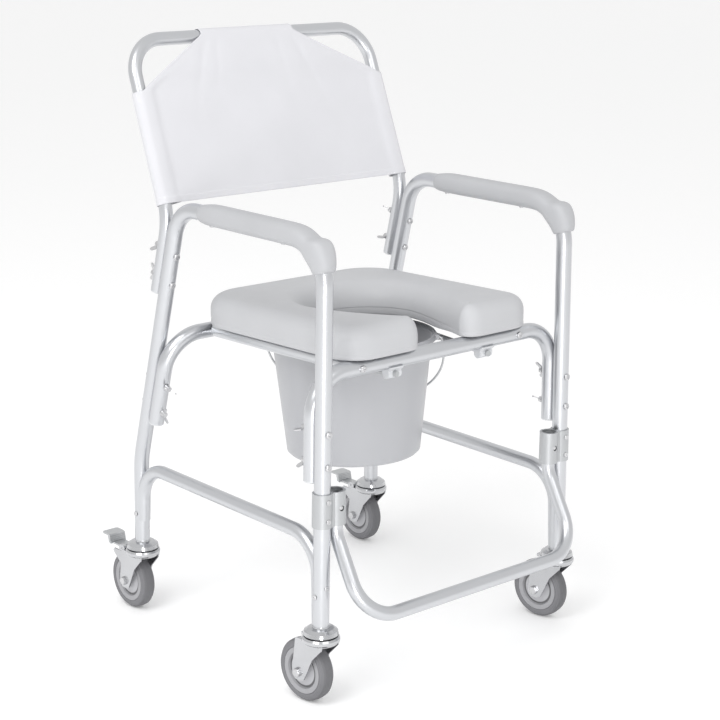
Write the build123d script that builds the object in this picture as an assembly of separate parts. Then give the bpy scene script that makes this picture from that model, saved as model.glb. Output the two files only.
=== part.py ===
from build123d import *
from math import asin, atan, cos, degrees, radians, sin, sqrt
import os

# Wheeled commode chair. Millimetres, +Z up, the sitter faces -Y, "right" and "left" are the sitter's.
# In the functions y is measured from the front legs. save() moves every piece by FRONT_LEG_Y, so that
# the origin lies on the floor under the middle of the chair.
FRONT_LEG_Y = -250.1

# Tubes
TUBE = 25.4
TUBE_WALL = 1.6
THIN_TUBE = 22.2
THIN_WALL = 1.5
SIDE_GAP = 0.1
BOLT_HOLE = 6.4

# Side frames: one bent tube each, leaning in slightly towards the top
FOOT_X = 257.9
LEAN = 0.0148
FOOT_Z = 129.5
ARM_Z = 717
REAR_LEG_Y = 479.6
KINK_Z = 273.4
RAKE = atan(0.263)
FRONT_ARM_BEND = 64
REAR_ARM_BEND = 60
KINK_BEND = 150

# Seat hoops and rails
HOOP_Y = TUBE + SIDE_GAP
CROSSBAR_Z = 511.4
FRONT_HOOP_END_Z = 353.5
REAR_HOOP_TOP = 507.5
REAR_HOOP_END = 355.5
HOOP_BEND = 60
RAIL_X = 166
FRONT_BOLT_Z = (381.1, 431.4)
REAR_BOLT_Z = (377.7, 423.8)

# Back frame
BACK_OFFSET = (TUBE + THIN_TUBE) / 2 + SIDE_GAP
BACK_END_Z = 567
BACK_KINK_Z = 696.6
BACK_TOP_Z = 967.9
BACK_TOP_Y = 499
BACK_TOP_X = 247
BACK_BENDS = (100, 61, 61, 100)
BACK_BOLT_Z = (590.5, 639.4)

# Lower rails
RAIL_Z = 264.5
RAIL_BEND = 60
RAIL_FRONT_END_Z = 131
RAIL_REAR_END_Z = 167
RAIL_OFFSET = 8.5
RAIL_END_OFFSET = 4.8

# Footrest
FOOTREST_X = 229.5
FOOTREST_TOP_Z = 335
FOOTREST_KINK_Z = 272
FOOTREST_BAR = (-69.5, 149.1)
FOOTREST_BENDS = (55, 62, 62, 55)
BRACKET_Z = (287, 340)
SLEEVE = 30.8
BORE = 22.8
BUTTON_Z = 314
BUTTON_TRAVEL = 3.2
BRACKET_RIVET_Z = (298, 328)

# Seat, in a frame that slopes down to the rear with the seat rails
SEAT_HALF_WIDTH = 195
SEAT_FRONT = -21
SEAT_REAR = 368
SEAT_BOTTOM = 13.1
SEAT_TOP = 65
BOARD_THICKNESS = 8
HINGE_CLIP_X = 112

# Pail and the ring it hangs in, in the same sloping frame
PAIL_Y = 208.3
PAIL_RIM_Z = -14.7
PAIL_DEPTH = 190
PAIL_RADIUS = 131.6
PAIL_TAPER = 0.1076
PAIL_WALL = 2.6
RIM_RADIUS = 140
RING_ROD = 9.5
RING_RADIUS = 136.7
RING_Z = -19.75
RING_FRONT = (97, -12)
RING_CLIP_X = (97, 35)
EAR_ANGLE = -49.4
EAR_RISE = 4.7
EAR_RADIUS = 145
BAIL_WIRE = 4
BAIL_HALF_WIDTH = 148
BAIL_STRAIGHT = 40
BAIL_DEPTH = 187.5
BAIL_HANG = 50.5

# Armrest pads
PAD_FRONT_Z = 671
PAD_REAR_Y = 298
PAD_WIDTH = 38
PAD_HEIGHT = 34
PAD_RAISE = 0.7
PAD_SCREW_Y = (97, 275)
HEAD_GAP = 0.13                 # a flat head rests on one edge of a leaning face

# Sling back
SLING_HALF_WIDTH = 246.6
SLING_HEM_Z = 716
SLING_CORNER_Z = 890
SLING_FLAP_HALF = 101
SLING_THICKNESS = 2
SLING_PROUD = 13.4

# Casters
WHEEL = 100
TYRE_WIDTH = 24.5
TRAIL = 30.4
CROWN = 59
STEM = 11
PEDAL_PIN = (38, 108.5)
PEDAL_WIDTH = 32
CASTERS = {
    "right_front": (-1, 0, 5.7),
    "left_front": (1, 0, 9.0),
    "right_rear": (-1, REAR_LEG_Y, 1.2),
    "left_rear": (1, REAR_LEG_Y, 0.6),
}

os.makedirs("parts", exist_ok=True)


def save(name, shape):
    """Write one sub-part in the chair's own frame."""
    export_step(Pos(0, FRONT_LEG_Y, 0) * shape, f"parts/{name}.step")


def leg_x(z):
    """Half spacing of the side frames at a height."""
    return FOOT_X - LEAN * (z - FOOT_Z)


def rear_leg_point(side, z, forward=0.0):
    """Point on the raked rear leg, or beside it, moved forward square to the rake."""
    y = REAR_LEG_Y - sin(RAKE) / cos(RAKE) * (z - KINK_Z) - forward * cos(RAKE)
    moved_z = z - forward * sin(RAKE)
    return Vector(side * leg_x(moved_z), y, moved_z)


RAKE_FORWARD = Vector(0, -cos(RAKE), -sin(RAKE))
REAR_CROSSBAR = rear_leg_point(1, REAR_HOOP_TOP, HOOP_Y)
SEAT_SLOPE = atan((CROSSBAR_Z - REAR_CROSSBAR.Z) / (REAR_CROSSBAR.Y - HOOP_Y))
CROSSBAR_SPACING = sqrt((CROSSBAR_Z - REAR_CROSSBAR.Z) ** 2 + (REAR_CROSSBAR.Y - HOOP_Y) ** 2)
SEAT_FRAME = Location((0, HOOP_Y, CROSSBAR_Z), (-degrees(SEAT_SLOPE), 0, 0))


def cylinder(start, direction, radius, length):
    """A round bar from a point along a direction."""
    return Solid.make_cylinder(radius, length, Plane(origin=start, z_dir=direction))


def bar_between(start, end, radius):
    """A round bar between two points."""
    run = Vector(end) - Vector(start)
    return cylinder(start, run, radius, run.length)


def tube(points, radius, outer, wall):
    """A bent tube: straight runs joined by tangent arcs."""
    path = FilletPolyline(*points, radius=radius)
    start = Plane(origin=path @ 0, z_dir=path % 0)
    return sweep(start * (Circle(outer / 2) - Circle(outer / 2 - wall)), path=path)


def both_sides(function):
    """The same piece for the right and the left side."""
    return [function(-1), function(1)]


# ---------------------------------------------------------------- fasteners


def pan_head(radius, height):
    """Pan head with a cross recess, sitting on z = 0."""
    head = Solid.make_cylinder(radius, height)
    head = fillet(head.edges().group_by(Axis.Z)[-1], height * 0.6)
    for turn in (0, 90):
        head -= Pos(0, 0, height) * Rot(0, 0, turn) * Box(radius * 1.1, 1.3, 2.2)
    return head


def bolt(seat, direction, grip):
    """Pan-head bolt: the head sits at seat and the shank runs along direction."""
    shape = pan_head(5.6, 3.6) + Pos(0, 0, -grip) * Solid.make_cylinder(3, grip)
    return Plane(origin=seat, z_dir=-Vector(direction)) * shape


def wing_nut(seat, direction, turn):
    """Wing nut on a 6 mm thread, its foot at seat, its wings turned about the bolt."""
    body = Solid.make_cone(6, 4.6, 8)
    outline = Polyline((3, 2), (9, 3), (15, 10), (14.5, 14.5), (10, 13), (4, 7), close=True)
    wing = extrude(Plane.XZ * fillet(make_face(outline).vertices().sort_by(Axis.X)[-3:], 1.6), 1.1, both=True)
    body += wing
    body += Rot(0, 0, 180) * wing
    body -= Solid.make_cylinder(3, 30)
    return Plane(origin=seat, z_dir=direction) * Rot(0, 0, turn) * body


def rivet(seat, outward, depth=4.2, radius=4.2):
    """Domed blind rivet with its head at seat."""
    head = Solid.make_cylinder(radius, 1.8)
    head = fillet(head.edges().group_by(Axis.Z)[-1], 1.4)
    body = head + Pos(0, 0, -depth) * Solid.make_cylinder(2.2, depth)
    body -= Pos(0, 0, 1) * Solid.make_cylinder(1, 2)
    return Plane(origin=seat, z_dir=outward) * body


# ---------------------------------------------------------------- bolt positions


def front_bolt_axes():
    """Bolts that hold the front hoop: seat point and direction."""
    return [(Vector(s * leg_x(z), -TUBE / 2, z), Vector(0, 1, 0)) for s in (-1, 1) for z in FRONT_BOLT_Z]


def rear_bolt_axes():
    """Bolts that hold the rear hoop; their heads are behind the rear legs."""
    return [(rear_leg_point(s, z, -TUBE / 2), RAKE_FORWARD) for s in (-1, 1) for z in REAR_BOLT_Z]


def back_bolt_axes():
    """Bolts that hold the back frame; their heads are in front of the rear legs."""
    return [(rear_leg_point(s, z, TUBE / 2), -RAKE_FORWARD) for s in (-1, 1) for z in BACK_BOLT_Z]


def rail_bolt_axes():
    """Bolts through the crossbars into the seat rails, in the sloping frame."""
    axes = [(Vector(s * RAIL_X, -TUBE / 2, 0), Vector(0, 1, 0)) for s in (-1, 1)]
    return axes + [(Vector(s * RAIL_X, CROSSBAR_SPACING + TUBE / 2, 0), Vector(0, -1, 0)) for s in (-1, 1)]


def drill(shape, axes, length, diameter=BOLT_HOLE):
    """Cut the holes for a set of bolts."""
    for seat, direction in axes:
        shape -= cylinder(seat - direction * 3, direction, diameter / 2, length)
    return shape


def bracket_rivet_axes():
    """Rivets that hold the footrest brackets on the front legs."""
    return [(Vector(s * leg_x(z), -SLEEVE / 2, z), Vector(0, -1, 0)) for s in (-1, 1) for z in BRACKET_RIVET_Z]


def lower_rivet_axes():
    """Rivets that hold the lower rails: one at the side and one at the front of each leg."""
    axes = []
    for s in (-1, 1):
        for y in (0, REAR_LEG_Y):
            axes.append((Vector(s * (leg_x(178) + TUBE / 2 + HEAD_GAP), y, 178), Vector(s, 0, 0)))
            axes.append((Vector(s * leg_x(192), y - TUBE / 2, 192), Vector(0, -1, 0)))
    return axes


def armrest_screw_axes():
    """Screws that hold the pads from below."""
    z = ARM_Z + PAD_RAISE - PAD_HEIGHT / 2 - HEAD_GAP
    return [(Vector(s * leg_x(ARM_Z), y, z), Vector(0, 0, 1)) for s in (-1, 1) for y in PAD_SCREW_Y]


# ---------------------------------------------------------------- frame


def side_frame(side):
    """Front leg, arm and raked rear leg, bent from one tube."""
    points = [(side * leg_x(FOOT_Z), 0, FOOT_Z), (side * leg_x(ARM_Z), 0, ARM_Z)]
    points += [rear_leg_point(side, ARM_Z), rear_leg_point(side, KINK_Z)]
    points.append((side * leg_x(FOOT_Z), REAR_LEG_Y, FOOT_Z))
    shape = tube(points, (FRONT_ARM_BEND, REAR_ARM_BEND, KINK_BEND), TUBE, TUBE_WALL)
    shape = drill(shape, [a for a in front_bolt_axes() if a[0].X * side > 0], 32)
    shape = drill(shape, [a for a in rear_bolt_axes() + back_bolt_axes() if a[0].X * side > 0], 32)
    for seat, outward in lower_rivet_axes() + bracket_rivet_axes():
        if seat.X * side > 0:
            shape -= cylinder(seat + outward, -outward, 2.3, 10)
    return drill(shape, [a for a in armrest_screw_axes() if a[0].X * side > 0], 14, 4.1)


def front_hoop():
    """Inverted U behind the front legs; it carries the front of the seat."""
    top_x = leg_x(CROSSBAR_Z)
    end_x = leg_x(FRONT_HOOP_END_Z)
    points = [(-end_x, HOOP_Y, FRONT_HOOP_END_Z), (-top_x, HOOP_Y, CROSSBAR_Z)]
    points += [(top_x, HOOP_Y, CROSSBAR_Z), (end_x, HOOP_Y, FRONT_HOOP_END_Z)]
    shape = tube(points, HOOP_BEND, TUBE, TUBE_WALL)
    shape = drill(shape, front_bolt_axes(), 60)
    return shape - [SEAT_FRAME * cylinder(a - d * 3, d, BOLT_HOLE / 2, 32) for a, d in rail_bolt_axes()[:2]]


def rear_hoop():
    """Inverted U in front of the raked rear legs."""
    points = [rear_leg_point(-1, REAR_HOOP_END, HOOP_Y), rear_leg_point(-1, REAR_HOOP_TOP, HOOP_Y)]
    points += [rear_leg_point(1, REAR_HOOP_TOP, HOOP_Y), rear_leg_point(1, REAR_HOOP_END, HOOP_Y)]
    shape = tube(points, HOOP_BEND, TUBE, TUBE_WALL)
    shape = drill(shape, rear_bolt_axes(), 60)
    return shape - [SEAT_FRAME * cylinder(a - d * 3, d, BOLT_HOLE / 2, 32) for a, d in rail_bolt_axes()[2:]]


def crossbar_cutters(gap):
    """The two crossbars as bars in the sloping frame, grown by a gap."""
    return [cylinder((-260, y, 0), (1, 0, 0), TUBE / 2 + gap, 520) for y in (0, CROSSBAR_SPACING)]


def seat_rail(side):
    """Tube between the crossbars, its ends coped to fit them."""
    start = Plane(origin=(side * RAIL_X, 0, 0), z_dir=(0, 1, 0))
    ring = start * (Circle(THIN_TUBE / 2) - Circle(THIN_TUBE / 2 - THIN_WALL))
    return SEAT_FRAME * (extrude(ring, CROSSBAR_SPACING) - crossbar_cutters(0.05))


def rail_inserts():
    """Threaded inserts in the rail ends."""
    inserts = []
    for side in (-1, 1):
        for y, inward in ((0, 1), (CROSSBAR_SPACING, -1)):
            plug = cylinder((side * RAIL_X, y, 0), (0, inward, 0), THIN_TUBE / 2 - THIN_WALL - 0.05, 38)
            plug -= cylinder((side * RAIL_X, y, 0), (0, inward, 0), 3, 40)
            inserts.append(SEAT_FRAME * (plug - crossbar_cutters(0.05)))
    return Compound(inserts)


def pail_ring(radius=RING_ROD / 2):
    """Round bar bent to a horseshoe: hung under the crossbars, the pail's rim rests on it."""
    front_x, front_y = RING_FRONT
    reach = Vector(front_x, PAIL_Y - front_y)
    spread = asin(RING_RADIUS / reach.length) - atan(front_x / reach.Y)
    touch_x = RING_RADIUS * cos(spread)
    touch_y = PAIL_Y - RING_RADIUS * sin(spread)
    path = Line((-front_x, front_y), (-touch_x, touch_y))
    path += ThreePointArc((-touch_x, touch_y), (0, PAIL_Y + RING_RADIUS), (touch_x, touch_y))
    path += Line((touch_x, touch_y), (front_x, front_y))
    path = Pos(0, 0, RING_Z) * path
    return sweep(Plane(origin=path @ 0, z_dir=path % 0) * Circle(radius), path=path)


def ring_clips(crossbar_y, ring_y, x):
    """Moulded clips: each hooks under a crossbar and carries the pail ring."""
    link = Polyline((crossbar_y + 9, -6), (crossbar_y - 12, -2), (ring_y - 6, RING_Z + 3),
                    (ring_y - 3, RING_Z - 7), (ring_y + 3, RING_Z - 7.7), (crossbar_y + 12, -10), close=True)
    clips = []
    for side in (-1, 1):
        middle = side * x
        clip = cylinder((middle - 13, crossbar_y, 0), (1, 0, 0), TUBE / 2 + 3, 26)
        clip += cylinder((middle - 13, ring_y, RING_Z), (1, 0, 0), RING_ROD / 2 + 3, 26)
        clip += extrude(Plane.YZ.offset(middle) * make_face(link), 13, both=True)
        clip -= cylinder((middle - 14, crossbar_y, 0), (1, 0, 0), TUBE / 2 + 0.05, 28)
        clip -= pail_ring(RING_ROD / 2 + 0.05)
        clip -= Pos(middle, crossbar_y, 25) * Box(40, 60, 40)
        clip -= Solid.make_cylinder(PAIL_RADIUS + 1, 80, Plane((0, PAIL_Y, -60)))
        clip -= Solid.make_cylinder(RIM_RADIUS + 1, 60, Plane((0, PAIL_Y, PAIL_RIM_Z - 1.5)))
        clips.append(clip)
    return clips


def front_ring_clips():
    """Front clips; nothing of them stands in front of the crossbar above its underside."""
    shown = Pos(0, -TUBE, 12) * Box(600, 2 * TUBE, 40)
    return SEAT_FRAME * Compound([clip - shown for clip in ring_clips(0, 0, RING_CLIP_X[0])])


def rear_ring_clips():
    """Rear clips, reaching forward from the crossbar to the back of the ring."""
    ring_y = PAIL_Y + sqrt(RING_RADIUS ** 2 - RING_CLIP_X[1] ** 2)
    return SEAT_FRAME * Compound(ring_clips(CROSSBAR_SPACING, ring_y, RING_CLIP_X[1]))


def back_point(side, z):
    """Point on the lower, raked stretch of the back frame behind the rear leg."""
    return rear_leg_point(side, z, -BACK_OFFSET)


def back_frame():
    """Inverted U: raked with the legs below the kink, reclined above it."""
    top_x = BACK_TOP_X
    points = [back_point(-1, BACK_END_Z), back_point(-1, BACK_KINK_Z - BACK_OFFSET * sin(RAKE))]
    points += [(-top_x, BACK_TOP_Y, BACK_TOP_Z), (top_x, BACK_TOP_Y, BACK_TOP_Z)]
    points += [back_point(1, BACK_KINK_Z - BACK_OFFSET * sin(RAKE)), back_point(1, BACK_END_Z)]
    shape = tube(points, BACK_BENDS, THIN_TUBE, THIN_WALL)
    return drill(shape, [(a + d * 24, d) for a, d in back_bolt_axes()], 28)


def end_plug(end, outward, outer, wall):
    """Plastic plug pushed into an open tube end."""
    cap = Solid.make_cylinder(outer / 2, 2.4)
    cap = fillet(cap.edges().group_by(Axis.Z)[-1], 1.6)
    plug = cap + Pos(0, 0, -10) * Solid.make_cylinder(outer / 2 - wall - 0.05, 10)
    return Plane(origin=end, z_dir=outward) * plug


def hoop_plugs():
    """Plugs in the four lower ends of the seat hoops."""
    plugs = []
    for side in (-1, 1):
        down = Vector(side * LEAN, 0, -1)
        plugs.append(end_plug((side * leg_x(FRONT_HOOP_END_Z), HOOP_Y, FRONT_HOOP_END_Z), down, TUBE, TUBE_WALL))
        end = rear_leg_point(side, REAR_HOOP_END, HOOP_Y)
        plugs.append(end_plug(end, end - rear_leg_point(side, REAR_HOOP_TOP, HOOP_Y), TUBE, TUBE_WALL))
    return Compound(plugs)


def back_plugs():
    """Plugs in the two lower ends of the back frame."""
    ends = both_sides(lambda side: (back_point(side, BACK_END_Z), back_point(side, BACK_KINK_Z)))
    return Compound([end_plug(end, end - above, THIN_TUBE, THIN_WALL) for end, above in ends])


def frame_bolts():
    """Bolts of both hoops and of the back frame."""
    bolts = [bolt(a, d, 2 * TUBE + 9) for a, d in front_bolt_axes() + rear_bolt_axes()]
    return Compound(bolts + [bolt(a, d, TUBE + THIN_TUBE + 9) for a, d in back_bolt_axes()])


def frame_wing_nuts():
    """Wing nuts at the far ends of the frame bolts, each stopped at its own angle."""
    seats = [(a + d * (2 * TUBE + SIDE_GAP + 0.1), d) for a, d in front_bolt_axes() + rear_bolt_axes()]
    seats += [(a + d * (TUBE + THIN_TUBE + SIDE_GAP + 0.1), d) for a, d in back_bolt_axes()]
    return Compound([wing_nut(a, d, 35 + 40 * i) for i, (a, d) in enumerate(seats)])


def lower_rail(side):
    """Level side tube whose ends are formed around the legs and taper off along them."""
    level = side * leg_x(RAIL_Z)
    points = [(side * leg_x(RAIL_FRONT_END_Z), RAIL_END_OFFSET, RAIL_FRONT_END_Z)]
    points += [(level, RAIL_OFFSET, RAIL_Z), (level, REAR_LEG_Y - RAIL_OFFSET, RAIL_Z)]
    points.append((side * leg_x(RAIL_REAR_END_Z), REAR_LEG_Y - RAIL_END_OFFSET, RAIL_REAR_END_Z))
    shape = tube(points, RAIL_BEND, THIN_TUBE, THIN_WALL)
    for y in (0, REAR_LEG_Y):
        foot = Vector(side * leg_x(60), y, 60)
        shape -= bar_between(foot, (side * leg_x(330), y, 330), TUBE / 2 + 0.05)
    return shape.solids().sort_by(SortBy.VOLUME)[-1]


# ---------------------------------------------------------------- footrest


def footrest_bracket(side):
    """Double-bore bracket: one bore on the leg and one for the footrest tube."""
    low, high = BRACKET_Z
    leg_low = Vector(side * leg_x(low), 0, low)
    leg_high = Vector(side * leg_x(high), 0, high)
    bore = side * FOOTREST_X
    height = high - low
    shape = bar_between(leg_low, leg_high, SLEEVE / 2) + cylinder((bore, 0, low), (0, 0, 1), SLEEVE / 2, height)
    shape += Pos((bore + leg_low.X) / 2, 0, (low + high) / 2) * Box(14, 23, height)
    shape -= bar_between(leg_low - (leg_high - leg_low), leg_high * 2 - leg_low, TUBE / 2 + 0.05)
    shape -= cylinder((bore, 0, low - 5), (0, 0, 1), BORE / 2, height + 10)
    shape -= cylinder((bore, 0, BUTTON_Z), (0, -1, 0), 4.3, 30)
    groove_depth = THIN_TUBE / 2 + BUTTON_TRAVEL + 0.25
    shape -= Pos(bore, -groove_depth / 2, (low + BUTTON_Z) / 2 - 5) * Box(8.6, groove_depth, BUTTON_Z - low + 10)
    for seat, outward in bracket_rivet_axes():
        shape -= cylinder(seat + outward, -outward, 2.3, 6)
    return shape.solids().sort_by(SortBy.VOLUME)[-1]


def footrest_frame():
    """U-shaped footrest tube, held in the two brackets."""
    bar_y, bar_z = FOOTREST_BAR
    points = [(-FOOTREST_X, 0, FOOTREST_TOP_Z), (-FOOTREST_X, 0, FOOTREST_KINK_Z), (-FOOTREST_X, bar_y, bar_z)]
    points += [(FOOTREST_X, bar_y, bar_z), (FOOTREST_X, 0, FOOTREST_KINK_Z), (FOOTREST_X, 0, FOOTREST_TOP_Z)]
    shape = tube(points, FOOTREST_BENDS, THIN_TUBE, THIN_WALL)
    for side in (-1, 1):
        shape -= cylinder((side * FOOTREST_X, 0, BUTTON_Z), (0, -1, 0), 4.1, 20)
    return shape


def footrest_button(side):
    """Domed push button that stands out through the tube and the bracket."""
    front = THIN_TUBE / 2 + BUTTON_TRAVEL
    pin = cylinder((side * FOOTREST_X, -front, BUTTON_Z), (0, 1, 0), 3.9, 7)
    pin = fillet(pin.edges().group_by(Axis.Y)[0], 2)
    flange = cylinder((side * FOOTREST_X, -front + 7, BUTTON_Z), (0, 1, 0), 5, 1)
    return pin + flange


def footrest_springs():
    """Bent leaf springs behind the buttons, standing inside the footrest tubes."""
    springs = []
    for side in (-1, 1):
        leaf = Polyline((-1.5, 6), (-1.5, -2), (7.1, -22), (8.3, -22), (8.3, 10))
        strip = extrude(Plane.YZ * trace(leaf, 0.8), 3, both=True)
        springs.append(Pos(side * FOOTREST_X, 0, BUTTON_Z) * strip)
    return Compound(springs)


# ---------------------------------------------------------------- armrests and sling


def armrest(side):
    """Moulded foam sleeve over the arm and the front bend."""
    leg_top = Vector(side * leg_x(ARM_Z), 0, ARM_Z)
    below = PAD_FRONT_Z - 30
    start = Vector(side * leg_x(below), 0, below)
    end = Vector(side * leg_x(ARM_Z), PAD_REAR_Y, ARM_Z)
    path = FilletPolyline(start, leg_top, end, radius=FRONT_ARM_BEND)
    section = Plane(origin=start, x_dir=(1, 0, 0), z_dir=path % 0)
    outline = section * Pos(0, -PAD_RAISE) * RectangleRounded(PAD_WIDTH, PAD_HEIGHT, 13)
    hole = section * Circle(TUBE / 2 + 0.05)
    pad = sweep(outline - hole, path=path)
    pad -= Pos(side * FOOT_X, 0, PAD_FRONT_Z - 50) * Box(100, 100, 100)
    return drill(pad, [a for a in armrest_screw_axes() if a[0].X * side > 0], 14, 4.1)


def armrest_screws():
    """Two screws under each pad, one at each end of the arm."""
    screw = pan_head(4, 2.4) + Pos(0, 0, -7) * Solid.make_cylinder(2, 7)
    return [Plane(origin=seat, z_dir=-up) * screw for seat, up in armrest_screw_axes()]


def sling_plane():
    """Plane of the reclined posts: x across, y up the posts, z to the front."""
    low = back_point(1, BACK_KINK_Z - BACK_OFFSET * sin(RAKE))
    up = Vector(0, BACK_TOP_Y - low.Y, BACK_TOP_Z - low.Z).normalized()
    return Plane(origin=(0, BACK_TOP_Y, BACK_TOP_Z), x_dir=(1, 0, 0), z_dir=Vector(1, 0, 0).cross(up)), up


def back_sling():
    """Fabric back: a panel in front of the posts with sleeves around them and around the top bar."""
    plane, up = sling_plane()
    hem = (SLING_HEM_Z - BACK_TOP_Z) / up.Z
    corner = (SLING_CORNER_Z - BACK_TOP_Z) / up.Z
    width = SLING_HALF_WIDTH + SLING_PROUD
    top = SLING_PROUD
    outline = Polyline(
        (-width, hem), (width, hem), (width, corner), (SLING_FLAP_HALF, top),
        (-SLING_FLAP_HALF, top), (-width, corner), close=True,
    )
    prism = extrude(make_face(outline), SLING_PROUD, both=True)
    panel = Pos(0, 0, SLING_PROUD - SLING_THICKNESS / 2) * Box(2 * width - 26, 600, SLING_THICKNESS)
    inner = THIN_TUBE / 2 + 0.7
    post_lean = (leg_x(BACK_KINK_Z) - BACK_TOP_X) / (BACK_TOP_Z - BACK_KINK_Z) * up.Z
    sleeves = [cylinder((-SLING_FLAP_HALF - 60, 0, 0), (1, 0, 0), SLING_PROUD, 2 * SLING_FLAP_HALF + 120)]
    hollows = [cylinder((-SLING_FLAP_HALF - 80, 0, 0), (1, 0, 0), inner, 2 * SLING_FLAP_HALF + 160)]
    for side in (-1, 1):
        foot = Vector(side * (BACK_TOP_X - post_lean * (hem - 20)), hem - 20, 0)
        run = Vector(-side * post_lean, 1, 0)
        sleeves.append(cylinder(foot, run, SLING_PROUD, 300))
        hollows.append(cylinder(foot, run, inner, 300))
    shape = panel.fuse(*sleeves).cut(*hollows) & prism
    return plane * shape


# ---------------------------------------------------------------- seat


def opening_outline(grow):
    """Horseshoe opening in the sloping frame: narrow at the front, round at the rear."""
    half = 98 + grow
    rear = SEAT_REAR - 94 + grow
    middle = rear - 100 - grow
    mouth = 56 + grow
    front = SEAT_FRONT - 30
    right = Spline((-mouth, 8), (-78 - grow, 62), (-half, middle), tangents=((-0.25, 1), (0, 1)))
    back = ThreePointArc((-half, middle), (0, rear), (half, middle))
    left = Spline((half, middle), (78 + grow, 62), (mouth, 8), tangents=((0, -1), (-0.25, -1)))
    lip = Polyline((mouth, 8), (mouth + 26, front), (-mouth - 26, front), (-mouth, 8))
    return make_face(right + back + left + lip)


def seat_outline(inset):
    """Outer outline of the seat with the opening cut out."""
    width = 2 * (SEAT_HALF_WIDTH - inset)
    depth = SEAT_REAR - SEAT_FRONT - 2 * inset
    plan = Pos(0, (SEAT_REAR + SEAT_FRONT) / 2) * RectangleRounded(width, depth, 46 - inset)
    return plan - opening_outline(inset)


def seat_board():
    """Base board under the padding."""
    return SEAT_FRAME * Pos(0, 0, SEAT_BOTTOM) * extrude(seat_outline(9), BOARD_THICKNESS)


def seat_pad():
    """Padded seat with soft top edges; the board is let into its underside."""
    pad = Pos(0, 0, SEAT_BOTTOM) * extrude(seat_outline(0), SEAT_TOP - SEAT_BOTTOM)
    pad = fillet(pad.edges().group_by(Axis.Z)[-1], 18)
    recess = Pos(0, 0, SEAT_BOTTOM - 1) * extrude(seat_outline(9), BOARD_THICKNESS + 1)
    return SEAT_FRAME * (pad - recess)


def rear_seat_clips():
    """Open clips under the board that turn on the rear crossbar."""
    clips = []
    for side in (-1, 1):
        x = side * HINGE_CLIP_X
        ring = cylinder((x - 14, CROSSBAR_SPACING, 0), (1, 0, 0), TUBE / 2 + 3.4, 28)
        foot = Pos(x, CROSSBAR_SPACING - 16, 10.6) * Box(28, 36, 5)
        clip = (ring + foot) & (Pos(x, CROSSBAR_SPACING - 10, SEAT_BOTTOM - 25) * Box(60, 90, 50))
        clip -= cylinder((x - 15, CROSSBAR_SPACING, 0), (1, 0, 0), TUBE / 2 + 0.3, 30)
        clip -= Pos(x, CROSSBAR_SPACING + 12, -14) * Rot(40, 0, 0) * Box(30, 22, 17)
        clips.append(clip.solids().sort_by(SortBy.VOLUME)[-1])
    return SEAT_FRAME * Compound(clips)


def seat_clip_screws():
    """Screws that hold the clips to the board."""
    screws = []
    for side in (-1, 1):
        seat = Vector(side * HINGE_CLIP_X, CROSSBAR_SPACING - 26, 8.1)
        screws.append(SEAT_FRAME * cylinder(seat - Vector(0, 0, 2), (0, 0, 1), 4, 2))
    return Compound(screws)


# ---------------------------------------------------------------- pail


def pail():
    """Tapered pail with a stepped rim and two lugs for the wire."""
    depth = PAIL_DEPTH
    foot = PAIL_RADIUS - PAIL_TAPER * depth
    inside = PAIL_RADIUS - PAIL_WALL
    profile = Polyline(
        (0, -depth), (foot - 4, -depth), (foot, -depth + 4), (PAIL_RADIUS, 0), (RIM_RADIUS - 1, 0),
        (RIM_RADIUS, 1.5), (RIM_RADIUS, 5.5), (RIM_RADIUS - 2.5, 8.5), (RIM_RADIUS - 5, 8.5),
        (RIM_RADIUS - 7, 5), (RIM_RADIUS - 9, 5), (inside, 1.5), (foot - PAIL_WALL, -depth + 6),
        (foot - PAIL_WALL - 4, -depth + 3), (0, -depth + 3), close=True,
    )
    shape = revolve(Plane.XZ * make_face(profile), Axis.Z)
    for turn in (EAR_ANGLE, EAR_ANGLE + 180):
        lug = Pos(EAR_RADIUS - 4.5, 0, EAR_RISE) * Box(9, 12, 2 * EAR_RISE)
        lug = fillet(lug.edges().filter_by(Axis.X), 2)
        shape += Rot(0, 0, turn) * (lug - Solid.make_cylinder(RIM_RADIUS - 4, 20, Plane((0, 0, -1))))
    for turn in (EAR_ANGLE, EAR_ANGLE + 180):
        hole = cylinder((RIM_RADIUS - 1, 0, EAR_RISE), (1, 0, 0), BAIL_WIRE / 2 + 0.1, 12)
        shape -= Rot(0, 0, turn) * hole
    return SEAT_FRAME * Pos(0, PAIL_Y, PAIL_RIM_Z) * shape


def pail_bail():
    """Wire bail hanging on the far side of the pail, its ends turned into the lugs."""
    half = BAIL_HALF_WIDTH
    end = RIM_RADIUS + 0.5
    hang = radians(BAIL_HANG)
    path = FilletPolyline((-end, 0), (-half, 0), (-half, BAIL_STRAIGHT), radius=3.2)
    path += EllipticalCenterArc((0, BAIL_STRAIGHT), half, BAIL_DEPTH - BAIL_STRAIGHT, start_angle=0, arc_size=180)
    path += FilletPolyline((half, BAIL_STRAIGHT), (half, 0), (end, 0), radius=3.2)
    path = Plane(origin=(0, 0, 0), x_dir=(1, 0, 0), z_dir=(0, sin(hang), cos(hang))) * path
    wire = sweep(Plane(origin=path @ 0, z_dir=path % 0) * Circle(BAIL_WIRE / 2), path=path)
    return SEAT_FRAME * Pos(0, PAIL_Y, PAIL_RIM_Z + EAR_RISE) * Rot(0, 0, EAR_ANGLE) * wire


# ---------------------------------------------------------------- casters
# A caster is drawn with its swivel axis at x = y = 0 and its wheel trailing to +Y.


def caster_place(name):
    """Where a caster stands and how it has turned."""
    side, y, turn = CASTERS[name]
    return Pos(side * FOOT_X, y, 0) * Rot(0, 0, turn)


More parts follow.
